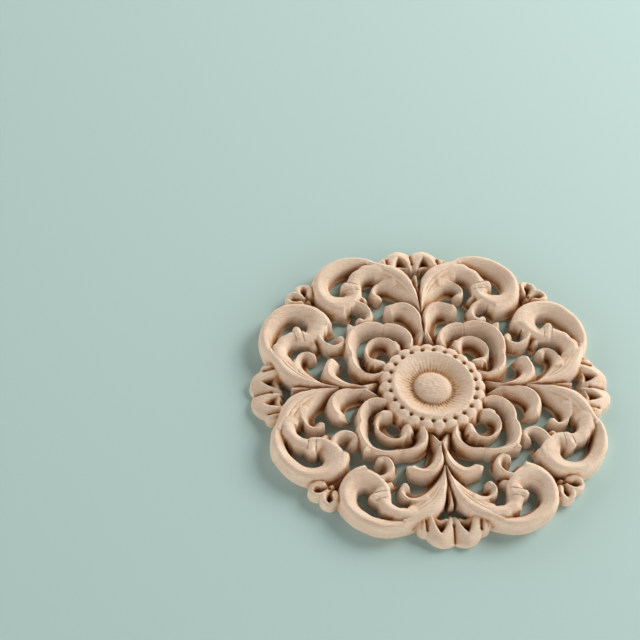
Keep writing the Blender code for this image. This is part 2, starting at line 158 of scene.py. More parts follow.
# Stations of each leaf are x, y, half width and crest height along its middle line.
# ridge is where the crest runs across the leaf, from -1 at its right edge to 1 at its left.
# drop is how far the left and right edges lie below the crest, slope how steeply the wood
# falls beyond them. cut marks a leaf whose far end is cut square, and cutSlope how steeply the
# wood falls past it. veins are the places across the leaf of fine grooves.
# keen is 1 for a sharp crest and 2 for a round back.
leaves = {
    "leaf": {
        "line": (
            (39.6, 0.6, 0.5, 7.0), (43.8, 1.4, 1.0, 7.7), (47.8, 2.7, 1.9, 8.2), (52.2, 4.7, 3.2, 8.4),
            (56.1, 7.6, 4.3, 8.4), (58.9, 10.8, 4.4, 8.4), (61.7, 15.2, 3.6, 8.0), (64.6, 19.4, 2.3, 7.4),
        ),
        "ridge": -0.55, "drop": (2.9, 0.9), "slope": (2.4, 8.0), "veins": (0.3, -0.1), "veinDepth": 0.3,
    },
    "scroll": {
        "line": (
            (64.2, 16.6, 1.6, 7.0), (66.0, 20.6, 2.1, 7.2), (66.6, 26.3, 2.4, 7.2), (65.0, 32.4, 2.6, 7.2),
            (60.9, 38.0, 2.7, 7.2), (57.0, 40.6, 2.8, 7.2), (52.4, 41.2, 2.9, 7.3), (48.4, 40.2, 3.1, 7.5),
            (45.7, 38.2, 3.5, 7.7), (44.2, 35.2, 3.8, 7.8), (44.7, 31.8, 3.6, 7.7), (46.8, 28.7, 2.9, 7.4),
            (50.0, 26.7, 2.5, 7.1), (52.6, 26.8, 2.6, 7.0),
        ),
        "ridge": -0.45, "drop": (2.1, 0.9), "slope": (4.0, 8.0), "keen": 1.4,
    },
    "tail": {
        "line": (
            (48.0, 42.9, 0.8, 6.2), (45.2, 41.3, 1.0, 6.9), (42.6, 38.6, 1.4, 7.5), (41.2, 35.4, 1.7, 7.9),
            (40.4, 32.6, 1.8, 8.1),
        ),
        "ridge": 0.1, "drop": (0.4, 1.3), "slope": (1.2, 8.0), "keen": 1.7, "cut": True, "cutSlope": 3.0,
    },
    "branch": {
        "line": (
            (58.4, 11.6, 3.8, 6.2), (60.9, 14.6, 3.5, 7.4), (62.2, 17.0, 3.4, 7.7), (62.0, 18.8, 2.7, 7.6),
            (61.7, 20.8, 2.8, 7.5), (60.5, 22.8, 2.2, 7.3), (59.1, 24.9, 2.5, 7.2), (57.3, 26.0, 2.3, 7.0),
            (55.2, 26.9, 2.7, 7.0), (52.7, 27.4, 3.0, 7.0), (50.2, 26.6, 2.4, 7.0),
        ),
        "ridge": -0.2, "drop": (1.6, 1.0), "slope": (3.5, 4.5), "keen": 1.7,
    },
    "lobe": {
        "line": (
            (27.6, 0.6, 0.5, 6.6), (32.0, 1.5, 1.0, 7.2), (36.2, 2.2, 1.7, 7.7), (39.4, 3.9, 2.1, 7.9),
            (41.5, 6.4, 2.2, 7.8), (41.9, 9.0, 2.0, 7.7), (41.2, 11.4, 1.9, 7.6), (40.2, 13.4, 2.2, 7.6),
        ),
        "ridge": -0.45, "drop": (2.4, 1.0), "slope": (4.0, 6.0), "cut": True,
        "veins": (0.35, -0.1), "veinDepth": 0.24,
    },
    "ring": {
        "line": (
            (21.6, 7.9, 1.6, 7.5), (24.3, 7.3, 1.7, 7.6), (27.4, 8.4, 1.8, 7.6), (29.9, 11.4, 1.9, 7.5),
            (30.7, 14.6, 2.0, 7.4), (30.5, 17.2, 1.9, 7.2), (31.3, 20.3, 2.1, 7.4), (31.2, 23.8, 2.1, 7.5),
            (30.1, 27.0, 2.1, 7.4), (28.4, 29.4, 2.1, 7.3),
        ),
        "ridge": -0.7, "drop": (4.3, 0.4), "slope": (5.0, 8.0), "keen": 0.85,
    },
    "ringTip": {
        "line": ((30.6, 29.6, 0.6, 7.2), (32.0, 32.0, 0.5, 7.6)),
        "drop": (0.3, 0.3), "slope": (3.0, 5.0),
    },
    "eyeBall": {
        "line": ((19.6, 12.6, 1.4, 6.6), (22.4, 13.0, 1.7, 6.9)),
        "drop": (0.9, 0.9), "slope": (3.5, 3.5), "keen": 2.0,
    },
    "eyeArm": {
        "line": (
            (23.0, 13.8, 0.7, 6.6), (25.2, 16.0, 0.5, 6.3), (25.8, 19.2, 0.5, 6.2), (25.0, 21.8, 0.5, 6.3),
            (23.6, 23.6, 0.5, 6.4),
        ),
        "drop": (0.4, 0.3), "slope": (3.6, 8.0),
    },
    "curl": {
        "line": (
            (45.0, 29.0, 0.8, 7.1), (44.4, 26.2, 0.6, 7.0), (42.5, 23.2, 0.6, 6.8), (39.0, 21.6, 0.6, 6.6),
            (35.9, 22.6, 0.7, 6.5), (34.5, 24.7, 0.8, 6.4), (35.4, 26.2, 1.0, 6.2),
        ),
        "drop": (0.3, 0.3), "slope": (6.0, 2.8),
    },
    "hook": {
        "line": (
            (55.4, 9.8, 2.0, 7.4), (55.4, 13.0, 1.3, 6.4), (54.4, 16.4, 0.8, 5.8), (52.3, 18.5, 0.7, 5.6),
            (49.8, 18.8, 0.8, 5.6), (48.0, 17.3, 1.2, 5.8),
        ),
        "ridge": -0.4, "drop": (0.8, 0.3), "slope": (2.4, 8.0),
    },
    "petalRim": {
        "line": (
            (62.3, 9.6, 0.6, 7.0), (65.2, 8.8, 0.7, 6.4), (68.4, 7.6, 0.7, 5.6), (70.8, 5.6, 0.7, 4.6),
            (69.2, 3.6, 0.7, 4.9), (67.0, 2.2, 0.7, 5.0), (64.2, 1.6, 0.6, 4.6),
        ),
        "drop": (0.15, 0.5), "slope": (0.62, 5.5), "keen": 1.6,
    },
    "petalLip": {
        "line": ((63.6, 8.0, 0.4, 5.2), (64.7, 5.4, 0.5, 4.2), (64.0, 2.6, 0.4, 4.4)),
        "drop": (0.2, 0.2), "slope": (2.6, 2.0),
    },
    "ear": {
        "line": ((64.8, 12.4, 0.6, 6.2), (67.6, 12.4, 0.6, 5.4), (69.4, 12.0, 0.5, 4.3)),
        "drop": (0.3, 0.2), "slope": (1.6, 2.4),
    },
    "earOuter": {
        "line": ((64.8, 14.2, 0.5, 6.2), (67.0, 14.1, 0.4, 5.2), (68.4, 13.6, 0.4, 4.4)),
        "drop": (0.3, 0.2), "slope": (3.0, 5.0),
    },
    "budRim": {
        "line": (
            (49.4, 49.4, 0.8, 4.8), (51.6, 50.9, 0.9, 5.2), (54.0, 50.4, 0.9, 4.8), (55.2, 48.4, 0.9, 4.2),
            (54.4, 46.4, 0.9, 5.2), (52.4, 45.3, 0.9, 5.8), (50.2, 45.9, 0.8, 5.6),
        ),
        "drop": (0.4, 0.5), "slope": (2.8, 3.5),
    },
    "budSpine": {
        "line": ((46.6, 46.6, 0.5, 4.4), (50.6, 50.6, 0.6, 5.0)),
        "drop": (0.3, 0.3), "slope": (3.5, 3.5),
    },
    "rib": {
        "line": ((46.0, 0.0, 0.3, 5.8), (52.5, 0.0, 0.4, 6.8), (59.5, 0.0, 0.5, 6.7)),
        "drop": (0.2, 0.2), "slope": (10.0, 10.0),
    },
    "rootRidge": {
        "line": ((22.6, 3.6, 0.5, 4.6), (25.2, 2.3, 0.5, 5.4), (28.2, 1.0, 0.5, 6.4)),
        "drop": (0.3, 0.3), "slope": (2.5, 2.5),
    },
    "collar": {
        "line": ((52.4, 25.2, 1.0, 7.0), (53.6, 30.4, 1.3, 7.4)),
        "drop": (0.6, 0.6), "slope": (3.0, 3.0), "keen": 2.0,
    },
    "knob": {
        "line": ((47.0, 23.4, 0.9, 5.6), (47.9, 25.2, 1.1, 6.0)),
        "drop": (0.6, 0.6), "slope": (3.0, 3.0),
    },
    "link": {
        "line": ((32.6, 23.4, 1.8, 4.4), (34.6, 23.2, 1.2, 4.4)),
        "drop": (0.4, 0.4), "slope": (3.0, 3.0),
    },
}
plainLeaf = {"ridge": 0.0, "cut": False, "cutSlope": 0.9, "veins": (), "veinDepth": 0.0, "keen": 1.3}

# Short cuts across the wood: both ends, width and depth.
cuts = {
    "ringWaist": ((33.6, 16.9), (28.6, 17.3), 0.5, 0.5),
    "ringShoulder": ((29.4, 5.6), (27.2, 8.6), 0.4, 0.3),
    "collarInside": ((50.8, 23.9), (51.9, 31.8), 0.3, 0.4),
    "collarOutside": ((53.8, 24.0), (55.3, 30.8), 0.3, 0.4),
    "petalParting": ((66.5, 0.0), (74.4, 0.0), 0.8, 1.2),
    "earGap": ((64.6, 11.1), (68.4, 10.8), 0.8, 1.3),
    "besideRib": ((52.0, 1.1), (58.2, 1.7), 0.9, 2.6),
}
# Holes: place, radius and height of the bottom.
pits = {
    "petalPit": ((67.2, 5.3), 1.5, 1.1),
    "petalMiddlePit": ((66.6, 0.0), 0.7, 2.0),
    "eyePit": ((23.7, 11.1), 0.8, 1.8),
    "budCup": ((52.6, 47.9), 1.3, 1.8),
    "budPit": ((47.7, 47.7), 0.6, 2.0),
    "budInnerPit": ((45.4, 45.4), 0.5, 2.4),
    "rootPit": ((24.6, 0.0), 1.2, 1.4),
}

boss = {
    "profile": (
        (0.0, 8.2), (2.4, 8.15), (4.6, 7.8), (6.4, 7.1), (7.4, 5.9), (8.1, 5.2), (9.2, 5.4), (11.2, 6.2),
        (13.6, 7.4), (15.6, 8.3), (16.4, 8.5), (16.9, 8.2), (17.4, 7.7), (18.4, 7.8), (19.6, 7.9),
        (20.8, 7.4), (21.5, 6.8), (21.9, 6.2),
    ),  # radius and height from the middle out
    "scallops": 24,
    "scallopDepth": 0.8,
    "seamDepth": 1.0,  # groove between two scallops
    "seamReach": ((17.2, 0), (18.6, 0.6), (22.0, 1)),  # radius and share of the depth
    "pitRadius": 17.9,
    "pitSize": 0.85,
    "pitLength": 0.75,  # below 1 draws the pits out along the radius
    "pitDepth": 1.9,
    "flutes": 48,
    "fluteDepth": 0.3,
    "fluteReach": ((7.3, 0), (8.3, 1.1), (10.5, 0.8), (14.0, 0.4), (16.0, 0)),  # radius and share
    "fluteWander": 0.6,  # how much one flute differs from the next
    "wanderTurns": 17,
    "wanderRings": 1.7,
    "sideSlope": 6.0,
    "domeRadius": 7.0,
    "domeRings": 7.5,  # rings of points within this radius belong to the dome
}


def smoothRun(rows, spacing):
    # A smooth curve through the rows. What else a row holds changes as smoothly as its place.
    rows = [np.array(row, float) for row in rows]
    guides = [2 * rows[0] - rows[1]] + rows + [2 * rows[-1] - rows[-2]]
    points = [rows[0]]
    for before, start, end, after in zip(guides, guides[1:], guides[2:], guides[3:]):
        chord = math.dist(start[:2], end[:2])
        leave = (end - before) * chord / (math.dist(before[:2], start[:2]) + chord)
        arrive = (after - start) * chord / (math.dist(end[:2], after[:2]) + chord)
        count = max(1, math.ceil(chord / spacing))
        for index in range(1, count + 1):
            t = index / count
            points.append(
                start * (2 * t**3 - 3 * t**2 + 1) + leave * (t**3 - 2 * t**2 + t)
                + end * (3 * t**2 - 2 * t**3) + arrive * (t**3 - t**2)
            )
    return points


def closedLoop(runs, spacing):
    # Corners stay sharp where one run ends and the next begins.
    points = [np.array(runs[0][0], float)]
    for run in runs:
        start = [tuple(points[-1])] if run is not runs[0] else []
        points.extend(smoothRun(start + list(run), spacing)[1:])
    return np.array(points[:-1])


def leafHeight(drawn, places):
    leaf = {**plainLeaf, **drawn}
    line = np.array(smoothRun(leaf["line"], pointPlan["crests"]))
    start, step = line[:-1], np.diff(line, axis=0)
    offset = places[:, None, :] - start[None, :, :2]
    reach = (offset * step[None, :, :2]).sum(2) / (step[:, :2] ** 2).sum(1)
    along = np.clip(reach, 0, 1)
    gap = offset - along[..., None] * step[None, :, :2]
    distance = np.hypot(gap[..., 0], gap[..., 1])
    nearest = distance.argmin(1)
    rows = np.arange(len(places))
    distance, reach, along, offset = (grid[rows, nearest] for grid in (distance, reach, along, offset))
    station = start[nearest] + along[:, None] * step[nearest]
    length = np.hypot(step[nearest, 0], step[nearest, 1])
    lateral = (step[nearest, 0] * offset[:, 1] - step[nearest, 1] * offset[:, 0]) / length
    side = np.where(lateral < 0, -1, 1)
    past = np.zeros(len(places))
    if leaf["cut"]:
        past = np.where(nearest == len(start) - 1, np.maximum(reach - 1, 0) * length, 0)
        distance = np.where(past > 0, np.abs(lateral), distance)
    halfWidth = station[:, 2]
    across = side * distance / halfWidth
    left = (across > leaf["ridge"]).astype(int)
    drop, slope = (np.array(leaf[name])[1 - left] for name in ("drop", "slope"))
    flank = np.abs(across - leaf["ridge"]) / (1 - (2 * left - 1) * leaf["ridge"])
    inside = np.minimum(flank, 1)
    beyond = np.maximum(np.abs(across) - 1, 0) * halfWidth
    eased = carving["shoulder"] * (1 - np.exp(-beyond / carving["shoulder"]))
    firstSlope = np.minimum(leaf["keen"] * drop / halfWidth, slope)
    height = station[:, 3] - drop * inside ** leaf["keen"] - slope * (beyond - eased) - firstSlope * eased
    # Veins fade out towards both ends and where the leaf is narrow.
    ends = np.minimum(nearest + along, len(start) - nearest - along)
    wideEnough = (halfWidth - carving["veinFrom"]) / carving["veinWidening"]
    fade = np.clip(ends / carving["veinEnds"], 0, 1) * np.clip(wideEnough, 0, 1)
    for vein in leaf["veins"]:
        aside = np.abs(across - vein) * halfWidth / carving["veinWidth"]
        height -= leaf["veinDepth"] * fade * np.maximum(0, 1 - aside)
    return height - leaf["cutSlope"] * past


def rimRadius(angle):
    valley = (0.5 - 0.5 * np.cos(boss["scallops"] * angle)) ** 2
    return boss["profile"][-1][0] - boss["scallopDepth"] * valley


def bossHeight(places):
    radius = np.hypot(places[:, 0], places[:, 1])
    angle = np.arctan2(places[:, 1], places[:, 0])
    profile = np.array(boss["profile"])
    height = np.interp(radius, profile[:, 0], profile[:, 1])
    valley = (0.5 - 0.5 * np.cos(boss["scallops"] * angle)) ** 3
    reach, share = np.array(boss["seamReach"]).T
    height -= np.interp(radius, reach, share) * boss["seamDepth"] * valley
    flute = (0.5 + 0.5 * np.cos(boss["flutes"] * angle)) ** 2
    wander = np.cos(boss["wanderTurns"] * angle) * np.cos(boss["wanderRings"] * radius)
    flute *= 1 + boss["fluteWander"] * wander
    reach, share = np.array(boss["fluteReach"]).T
    height -= np.interp(radius, reach, share) * boss["fluteDepth"] * flute
    pitch = 2 * math.pi / boss["scallops"]
    fromPit = (angle / pitch) % 1 - 0.5
    pitGap = np.hypot((radius - boss["pitRadius"]) * boss["pitLength"], fromPit * pitch * boss["pitRadius"])
    height -= boss["pitDepth"] * np.maximum(0, 1 - (pitGap / boss["pitSize"]) ** 2)
    return height - boss["sideSlope"] * np.maximum(radius - rimRadius(angle), 0)


def fromLine(places, start, end):
    step = np.subtract(end, start)
    along = np.clip(((places - start) @ step) / (step @ step), 0, 1)
    gap = places - start - along[:, None] * step
    return np.hypot(gap[:, 0], gap[:, 1])


def topHeight(places):
    height = np.maximum(bossHeight(places), carving["floor"])
    for leaf in leaves.values():
        height = np.maximum(height, leafHeight(leaf, places))
    for start, end, width, depth in cuts.values():
        height -= depth * np.maximum(0, 1 - fromLine(places, start, end) / width)
    for middle, radius, bottom in pits.values():
        away = np.hypot(places[:, 0] - middle[0], places[:, 1] - middle[1])
        height = np.minimum(height, bottom + carving["pitSlope"] * np.maximum(0, away - radius / 2))
    return np.maximum(height, carving["thinnest"])


def leafLines(drawn):
    leaf = {**plainLeaf, **drawn}
    line = np.array(smoothRun(leaf["line"], pointPlan["lines"]))
    ahead = np.gradient(line[:, :2], axis=0)
    ahead /= np.hypot(ahead[:, 0], ahead[:, 1])[:, None]
    left = np.stack((-ahead[:, 1], ahead[:, 0]), 1)
    halfWidth = line[:, 2:3]
    lines = [line[:, :2] + place * halfWidth * left for place in (leaf["ridge"], 1, -1)]
    for side, slope in zip((1, -1), leaf["slope"]):
        if slope > pointPlan["steepFrom"]:
            for reach in pointPlan["footReach"]:
                lines.append(line[:, :2] + side * (halfWidth + reach) * left)
    for vein in leaf["veins"]:
        for aside in pointPlan["besideVein"]:
            lines.append(line[:, :2] + (vein * halfWidth + aside) * left)
    if leaf["cut"]:
        lines.append(np.linspace(lines[1][-1], lines[2][-1], pointPlan["endSteps"]))
    return lines


def insideLoop(places, loop):
    # Counts how often a ray to the right crosses the loop.
    crossings = np.zeros(len(places), int)
    for start, end in zip(loop, np.roll(loop, -1, axis=0)):
        spans = (start[1] > places[:, 1]) != (end[1] > places[:, 1])
        rise = end[1] - start[1]
        if rise:
            reach = start[0] + (places[:, 1] - start[1]) / rise * (end[0] - start[0])
            crossings += spans & (places[:, 0] < reach)
    return crossings % 2 == 1


def insideLoops(places, loops):
    # Within the outline and outside the openings.
    inside = insideLoop(places, loops[0])
    for loop in loops[1:]:
        inside &= ~insideLoop(places, loop)
    return inside


def distanceToLoops(places, loops):
    nearest = np.full(len(places), np.inf)
    for loop in loops:
        for start, end in zip(loop, np.roll(loop, -1, axis=0)):
            step = end - start
            along = np.clip(((places - start) @ step) / (step @ step), 0, 1)
            gap = places - start - along[:, None] * step
            nearest = np.minimum(nearest, np.hypot(gap[:, 0], gap[:, 1]))
    return nearest


def seamSide(place):
    # Places that nearly touch the axis or the diagonal are moved onto it.
    x, y = place
    if abs(y) < pointPlan["ontoSeam"]:
        return x, 0.0
    if abs(x - y) < pointPlan["ontoSeam"]:
        return (x + y) / 2, (x + y) / 2
    return x, y


def openWoodPoints(loops):
    # Rings on the boss, then rows of an even triangular pattern.
    spacing = pointPlan["openWood"]
    eighth = math.pi / 4
    places = []
    bossEdge = boss["profile"][-1][0] + pointPlan["bossMargin"]
    for radius in np.arange(pointPlan["firstRing"], bossEdge, pointPlan["bossRings"]):
        count = pointPlan["bossRays"]
        if radius < boss["domeRings"]:
            count = max(2, round(eighth * radius / pointPlan["bossStep"]))
        turns = np.linspace(0, eighth, count + 1)
        places.extend((radius * math.cos(turn), radius * math.sin(turn)) for turn in turns)
    rows = np.arange(0, pointPlan["highestRow"], spacing * 0.866)
    for index, y in enumerate(rows):
        shift = spacing / 2 * (index % 2)
        across = np.arange(y + shift, pointPlan["farthest"], spacing)
        places.extend((x, y) for x in across if math.hypot(x, y) > bossEdge)
    places = np.array(places)
    places = places[insideLoops(places, loops)]
    return places[distanceToLoops(places, loops) > carving["softEdge"] + pointPlan["openToSoftEdge"]]


def softEdgePoints(loops):
    # A row of points just inside the wall, where the worn edge begins.
    rows = []
    for loop, inward in zip(loops, (1, -1, -1)):
        ahead = np.roll(loop, -1, axis=0) - loop
        middle = (np.roll(loop, -1, axis=0) + loop) / 2
        ahead /= np.hypot(ahead[:, 0], ahead[:, 1])[:, None]
        rows.append(middle + carving["softEdge"] * inward * np.stack((-ahead[:, 1], ahead[:, 0]), 1))
    places = np.concatenate(rows)
    places = places[insideLoops(places, loops)]
    return places[distanceToLoops(places, loops) > carving["softEdge"] * pointPlan["softShare"]]


def planOfTop(loops):
    places, edges, faces = [], [], []
    for loop in loops:
        faces.append(list(range(len(places), len(places) + len(loop))))
        places.extend(tuple(place) for place in loop)
    lines = []
    for leaf in leaves.values():
        lines.extend(leafLines(leaf))
    for start, end, width, _ in cuts.values():
        beside = width * np.array((start[1] - end[1], end[0] - start[0])) / math.dist(start, end)
        for side in (-1, 0, 1):
            lines.append(np.linspace(start + side * beside, end + side * beside, pointPlan["cutSteps"]))
    turn = np.linspace(0, 2 * math.pi, pointPlan["pitSteps"])[:, None]
    circle = np.hstack((np.cos(turn), np.sin(turn)))
    for middle, radius, _ in pits.values():
        lines.extend(np.array(middle) + radius * size * circle for size in pointPlan["pitRings"])
    for line in lines:
        inside = insideLoops(line, loops)
        inside &= distanceToLoops(line, loops) > pointPlan["lineToEdge"]
        for index in range(len(line) - 1):
            if inside[index] and inside[index + 1]:
                edges.append((len(places) + index, len(places) + index + 1))
        places.extend(seamSide(place) if kept else tuple(loops[0][0]) for place, kept in zip(line, inside))
    taken = kdtree.KDTree(len(places))
    for index, place in enumerate(places):
        taken.insert((place[0], place[1], 0), index)
    taken.balance()
    soft, openWood = softEdgePoints(loops), openWoodPoints(loops)
    for extra, gap in ((soft, pointPlan["softToOthers"]), (openWood, pointPlan["openToOthers"])):
        fresh = [tuple(place) for place in extra if taken.find((place[0], place[1], 0))[2] > gap]
        places.extend(fresh)
    corners = [Vector((float(place[0]), float(place[1]))) for place in places]
    return trianglesInside(corners, edges, faces)


def trianglesInside(corners, edges, faces):
    # Each triangle is told which of the faces it lies in: 0 is the outline, 1 and 2 the openings.
    points, _, triangles, _, _, owners = delaunay_2d_cdt(corners, edges, faces, 0, 0.01, True)
    kept = []
    for triangle, owner in zip(triangles, owners):
        if 0 in owner and 1 not in owner and 2 not in owner:
            kept.append(triangle)
    return np.array([tuple(point) for point in points]), kept


def onSeam(pair):
    onAxis = np.abs(pair[:, 1]).max() < pointPlan["seamWidth"]
    return onAxis or np.abs(pair[:, 0] - pair[:, 1]).max() < pointPlan["seamWidth"]


def wallEdges(points, triangles):
    sides = {(a, b) for face in triangles for a, b in zip(face, face[1:] + face[:1])}
    return [(a, b) for a, b in sides if (b, a) not in sides and not onSeam(points[[a, b]])]


def buildSlice():
    loops = [closedLoop(outerOutline, pointPlan["lines"])]
    loops += [closedLoop(runs, pointPlan["lines"])[::-1] for runs in (crescentOpening, starOpening)]
    points, triangles = planOfTop(loops)
    heights = topHeight(points)
    walls = wallEdges(points, triangles)
    onWall = {corner for pair in walls for corner in pair}
    for corner in onWall:
        heights[corner] -= carving["softDrop"]
    slice3d = bmesh.new()
    top = {}
    for corner in sorted({corner for face in triangles for corner in face}):
        top[corner] = slice3d.verts.new((points[corner][0], points[corner][1], heights[corner]))
    rows = {}
    for corner in onWall:
        x, y = points[corner]
        levels = np.linspace(heights[corner], 0, carving["wallRows"] + 1)[1:]
        rows[corner] = [top[corner]] + [slice3d.verts.new((x, y, level)) for level in levels]
    for face in triangles:
        slice3d.faces.new([top[corner] for corner in face])
    for start, end in walls:
        for upper in range(carving["wallRows"]):
            lower = upper + 1
            slice3d.faces.new((rows[end][upper], rows[start][upper], rows[start][lower], rows[end][lower]))
    # The flat back has no points of its own inside the outline.
    foot = {(round(row[0].co.x, 3), round(row[0].co.y, 3)): row[-1] for row in rows.values()}
    addBack(slice3d, loops, foot)
    mesh = bpy.data.meshes.new("rosetteSlice")
    slice3d.to_mesh(mesh)
    slice3d.free()
    print("slice has", len(mesh.vertices), "points and", len(mesh.polygons), "faces")
    return mesh


def addBack(slice3d, loops, foot):
    places, faces = [], []
    for loop in loops:
        around = []
        for index, place in enumerate(loop):
            trio = np.array([loop[index - 1], place, loop[(index + 1) % len(loop)]])
            if not onSeam(trio):
                around.append(place)
        faces.append(list(range(len(places), len(places) + len(around))))
        places.extend(around)
    corners = [Vector((float(place[0]), float(place[1]))) for place in places]
    points, triangles = trianglesInside(corners, [], faces)
    made = {}
    for index, point in enumerate(points):
        key = (round(point[0], 3), round(point[1], 3))
        made[index] = foot.get(key) or slice3d.verts.new((point[0], point[1], 0))
    for face in triangles:
        slice3d.faces.new([made[corner] for corner in face[::-1]])


def addNode(tree, kind, inputs, **settings):
    node = tree.nodes.new(kind)
    for name, value in settings.items():
        setattr(node, name, value)
    for name, value in inputs.items():
        if isinstance(value, bpy.types.NodeSocket):
            tree.links.new(value, node.inputs[name])
        else:
            node.inputs[name].default_value = value
    return node


def repeatRoundCentre(piece, wood):
    # Mirrors the half sector and copies the pair round the middle.
    tree = bpy.data.node_groups.new("repeatRoundCentre", "GeometryNodeTree")
    tree.interface.new_socket("Geometry", in_out="INPUT", socket_type="NodeSocketGeometry")
    turns = tree.interface.new_socket("Quarter turns", in_out="INPUT", socket_type="NodeSocketInt")
    join = tree.interface.new_socket("Join distance", in_out="INPUT", socket_type="NodeSocketFloat")
    tree.interface.new_socket("Geometry", in_out="OUTPUT", socket_type="NodeSocketGeometry")
    given = tree.nodes.new("NodeGroupInput").outputs
    order = tree.nodes.new("GeometryNodeInputIndex").outputs["Index"]
    mirrored = addNode(tree, "GeometryNodeTransform", {"Geometry": given["Geometry"], "Scale": (1, -1, 1)})
    flipped = addNode(tree, "GeometryNodeFlipFaces", {"Mesh": mirrored.outputs["Geometry"]})
    pair = addNode(tree, "GeometryNodeJoinGeometry", {"Geometry": flipped.outputs["Mesh"]})
    tree.links.new(given["Geometry"], pair.inputs["Geometry"])
    places = addNode(tree, "GeometryNodePoints", {"Count": given["Quarter turns"]})
    step = addNode(
        tree, "ShaderNodeMath", {0: 2 * math.pi, 1: given["Quarter turns"]}, operation="DIVIDE"
    )
    angle = addNode(
        tree, "ShaderNodeMath", {0: order, 1: step.outputs["Value"]}, operation="MULTIPLY"
    )
    turned = addNode(tree, "ShaderNodeCombineXYZ", {"Z": angle.outputs["Value"]})
    copies = addNode(tree, "GeometryNodeInstanceOnPoints", {
        "Points": places.outputs["Points"],
        "Instance": pair.outputs["Geometry"],
        "Rotation": turned.outputs["Vector"],
    })
    real = addNode(tree, "GeometryNodeRealizeInstances", {"Geometry": copies.outputs["Instances"]})
    welded = addNode(tree, "GeometryNodeMergeByDistance", {
        "Geometry": real.outputs["Geometry"], "Distance": given["Join distance"],
    })
    finished = addNode(tree, "GeometryNodeSetMaterial", {
        "Geometry": welded.outputs["Geometry"], "Material": wood,
    })
    addNode(tree, "NodeGroupOutput", {"Geometry": finished.outputs["Geometry"]})
    repeat = piece.modifiers.new("repeatRoundCentre", "NODES")
    repeat.node_group = tree
    repeat[turns.identifier] = carving["quarterTurns"]
    repeat[join.identifier] = pointPlan["joinDistance"]
    bpy.context.view_layer.update()
    whole = bpy.data.meshes.new_from_object(piece.evaluated_get(bpy.context.evaluated_depsgraph_get()))
    piece.modifiers.remove(repeat)
    return whole


# A scale is how many bumps of the noise lie in a millimetre.
handWork = {
    "seed": 7,  # the same unevenness on every run
    "wobble": 0.13,
    "wobbleScale": 0.16,
    "toolMarks": 0.08,
    "toolScale": 0.55,
    "fibreRise": 0.05,  # raised grain
    "fibreScale": (0.35, 1.9, 1.9),
    "roughDome": 0.45,
    "domeScale": (0.7, 1.4),
    "fullFrom": 2.0,  # height above the back from which it shows in full
}


def handFinish(mesh):
    # Slight unevenness of a finished carving, and grain raised along X. The back stays flat.
    noise.seed_set(handWork["seed"])
    for vertex in mesh.vertices:
        place = vertex.co
        if place.z < 0.01:
            continue
        uneven = noise.noise_vector(place * handWork["wobbleScale"]) * handWork["wobble"]
        uneven += noise.noise_vector(place * handWork["toolScale"]) * handWork["toolMarks"]
        fibre = noise.noise(place * Vector(handWork["fibreScale"])) * handWork["fibreRise"]
        onDome = max(0, 1 - math.hypot(place.x, place.y) / boss["domeRadius"]) ** 0.5
        along, across = handWork["domeScale"]
        bump = noise.noise((place.x * along, place.y * across, 3.0)) * handWork["roughDome"] * onDome
        lift = min(1, place.z / handWork["fullFrom"])
        place += Vector((uneven.x, uneven.y, uneven.z + fibre + bump)) * lift


# Painted shade: the deeper a point sits below the wood around it, the darker and warmer its colour is
# painted, standing in for shade in the hollows.
hollowShade = {
    "mapStep": 0.5,
    "mapReach": 78,
    "mapOutline": 1.5,  # spacing along the outline for the map
    "lookAround": (1.2, 2.4, 4.0),  # how far off the wood around a point is looked at
    "directions": 12,
    "steepest": 2.0,
    "softenings": 3,
    "gain": 2.3,
    "start": 0.12,  # shallow hollows below this keep the open colour
}


def heightMap():
    # Heights of one quarter as a grid, in which paintHollowShade looks up the others too.
    step = hollowShade["mapStep"]
    reach = np.arange(0, hollowShade["mapReach"], step)
    x, y = np.meshgrid(reach, reach, indexing="ij")
    places = np.stack((np.maximum(x, y).ravel(), np.minimum(x, y).ravel()), 1)
    outlines = (outerOutline, crescentOpening, starOpening)
    loops = [closedLoop(runs, hollowShade["mapOutline"]) for runs in outlines]
    heights = np.where(insideLoops(places, loops), topHeight(places), 0)
    return heights.reshape(x.shape), step


